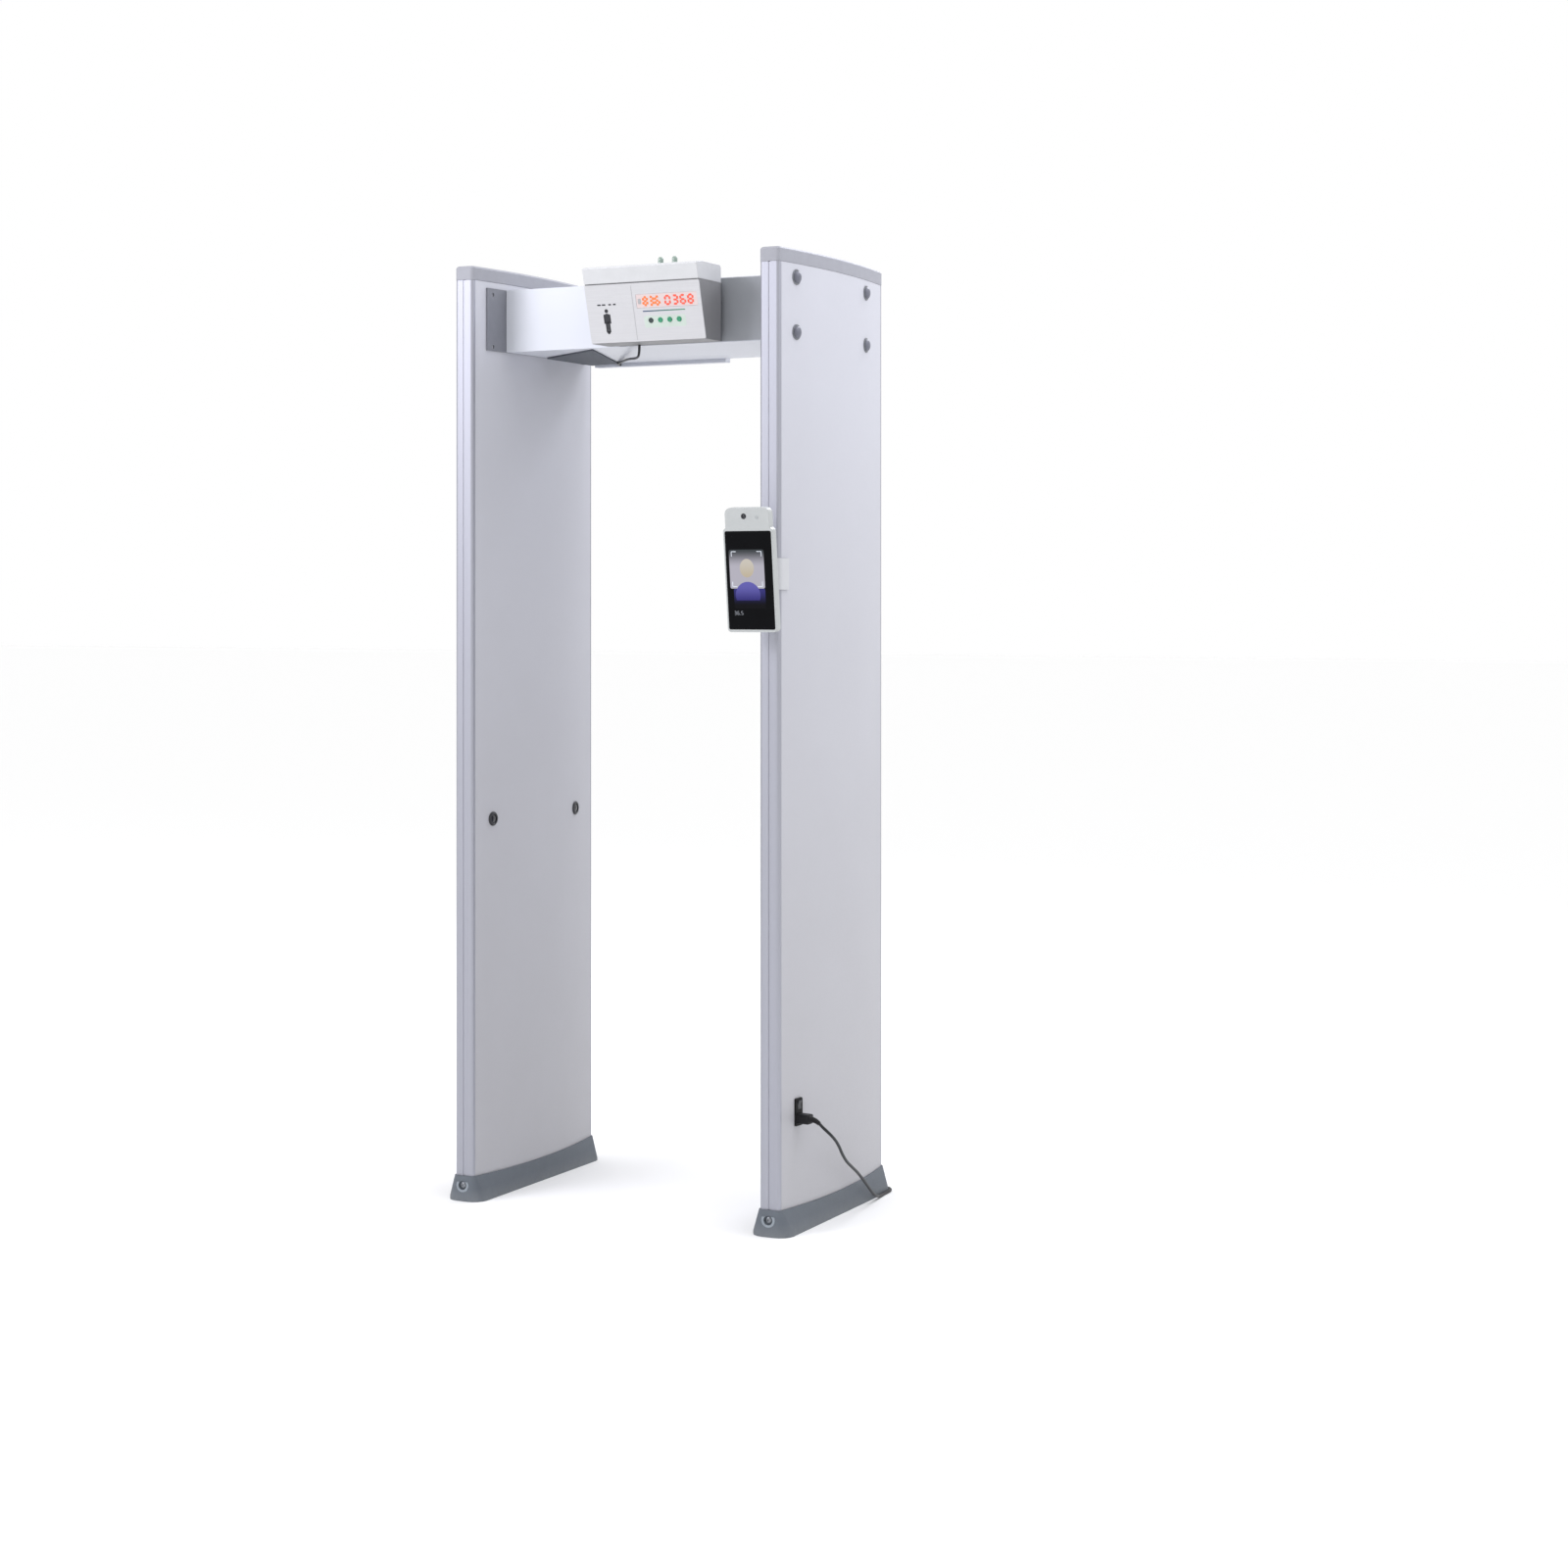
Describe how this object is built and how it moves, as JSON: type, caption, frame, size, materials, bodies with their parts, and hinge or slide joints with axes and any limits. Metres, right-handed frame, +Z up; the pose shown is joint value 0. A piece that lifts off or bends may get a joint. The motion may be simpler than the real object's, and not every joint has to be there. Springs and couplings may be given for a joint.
{
  "type": "walk-through security gate",
  "caption": "Walk-through metal detector gate with arched columns, a crossbeam with a control unit, and a swivelling face and temperature terminal.",
  "frame": {"origin": "on the floor, under the middle of the gate's bounding box without the mains lead", "axes": "+Z up; +Y the way a visitor walks through, so the control panel and the terminal face -Y; +X across the passage, towards the column with the terminal"},
  "size_m": [0.9583, 0.878, 2.2],
  "materials": {
    "face_panel": "satin laminated panel",
    "edge_profile": "satin coated extrusion",
    "top_cap": "moulded, satin",
    "shoe": "moulded, matt, worn",
    "screw": "zinc plated",
    "sensor": "dark infrared window",
    "bolt_cap": "dark satin",
    "bracket": "cast and coated",
    "winding": "enamelled wire",
    "crossbeam": "powder coated, satin",
    "control_housing": "grey, fine texture",
    "control_hood": "off-white, satin",
    "fascia": "silver printed overlay",
    "display": "red filter window",
    "control_mount": "black",
    "circuit_board": "solder mask",
    "button": "green keys",
    "lamp": "clear tinted dome",
    "lead": "black flexible jacket",
    "plug": "black moulded",
    "inlet": "black moulded",
    "rocker": "black",
    "supply": "plain sheet case",
    "terminal_mount": "white powder coat",
    "terminal_shell": "white, satin gloss",
    "screen_glass": "black glass over a screen",
    "lens": "dark lens"
  },
  "bodies": {
    "gate": {"control_board": "circuit_board", "control_fascia": "fascia", "control_hood": "control_hood", "control_housing": "control_housing", "control_lead": "lead", "control_mount": "control_mount", "crossbeam_body": "crossbeam", "crossbeam_rear_cover": "crossbeam", "display_window": "display", "inlet_module": "inlet", "left_beam_bolt_1": "bolt_cap", "left_beam_bolt_2": "bolt_cap", "left_beam_bolt_3": "bolt_cap", "left_beam_bolt_4": "bolt_cap", "left_beam_bracket": "bracket", "left_front_profile": "edge_profile", "left_front_sensor": "sensor", "left_front_shoe_screw": "screw", "left_inner_panel": "face_panel", "left_outer_panel": "face_panel", "left_rear_profile": "edge_profile", "left_rear_sensor": "sensor", "left_rear_shoe_screw": "screw", "left_shoe": "shoe", "left_top_cap": "top_cap", "left_transmit_coil": "winding", "mains_plug": "plug", "power_connector": "plug", "power_cord": "lead", "power_cord_coil": "lead", "power_supply": "supply", "right_beam_bolt_1": "bolt_cap", "right_beam_bolt_2": "bolt_cap", "right_beam_bolt_3": "bolt_cap", "right_beam_bolt_4": "bolt_cap", "right_beam_bracket": "bracket", "right_front_profile": "edge_profile", "right_front_sensor": "sensor", "right_front_shoe_screw": "screw", "right_inner_panel": "face_panel", "right_outer_panel": "face_panel", "right_rear_profile": "edge_profile", "right_rear_sensor": "sensor", "right_rear_shoe_screw": "screw", "right_receive_coil": "winding", "right_shoe": "shoe", "right_top_cap": "top_cap", "status_lamp_1": "lamp", "status_lamp_2": "lamp", "terminal_clamp": "terminal_mount"},
    "terminal_swivel": {"terminal_pan_arm": "terminal_mount"},
    "terminal_head": {"terminal_shell": "terminal_shell", "terminal_glass": "screen_glass", "terminal_lens": "lens"},
    "rocker": {"rocker_switch": "rocker"},
    "key_1": {"button_1": "button"},
    "key_2": {"button_2": "button"},
    "key_3": {"button_3": "button"},
    "key_4": {"button_4": "button"}
  },
  "joints": [
    {"name": "terminal_pan", "type": "hinge", "parent": "gate", "child": "terminal_swivel", "pos_m": [0.397, -0.2605, 1.4625], "axis": [0, 0, 1], "range_deg": [-30, 30]},
    {"name": "terminal_tilt", "type": "hinge", "parent": "terminal_swivel", "child": "terminal_head", "pos_m": [0.397, -0.298, 1.47], "axis": [1, 0, 0], "range_deg": [-20, 15]},
    {"name": "rocker_press", "type": "hinge", "parent": "gate", "child": "rocker", "pos_m": [0.43263, -0.15826, 0.2845], "axis": [0.1102, 0.9939, 0], "range_deg": [-14, 0]},
    {"name": "button_1_press", "type": "slide", "parent": "gate", "child": "key_1", "axis": [0, 0.9607, 0.2775], "range_m": [0, 0.0012], "stiffness_N_per_m": 400},
    {"name": "button_2_press", "type": "slide", "parent": "gate", "child": "key_2", "axis": [0, 0.9607, 0.2775], "range_m": [0, 0.0012], "stiffness_N_per_m": 400},
    {"name": "button_3_press", "type": "slide", "parent": "gate", "child": "key_3", "axis": [0, 0.9607, 0.2775], "range_m": [0, 0.0012], "stiffness_N_per_m": 400},
    {"name": "button_4_press", "type": "slide", "parent": "gate", "child": "key_4", "axis": [0, 0.9607, 0.2775], "range_m": [0, 0.0012], "stiffness_N_per_m": 400}
  ]
}
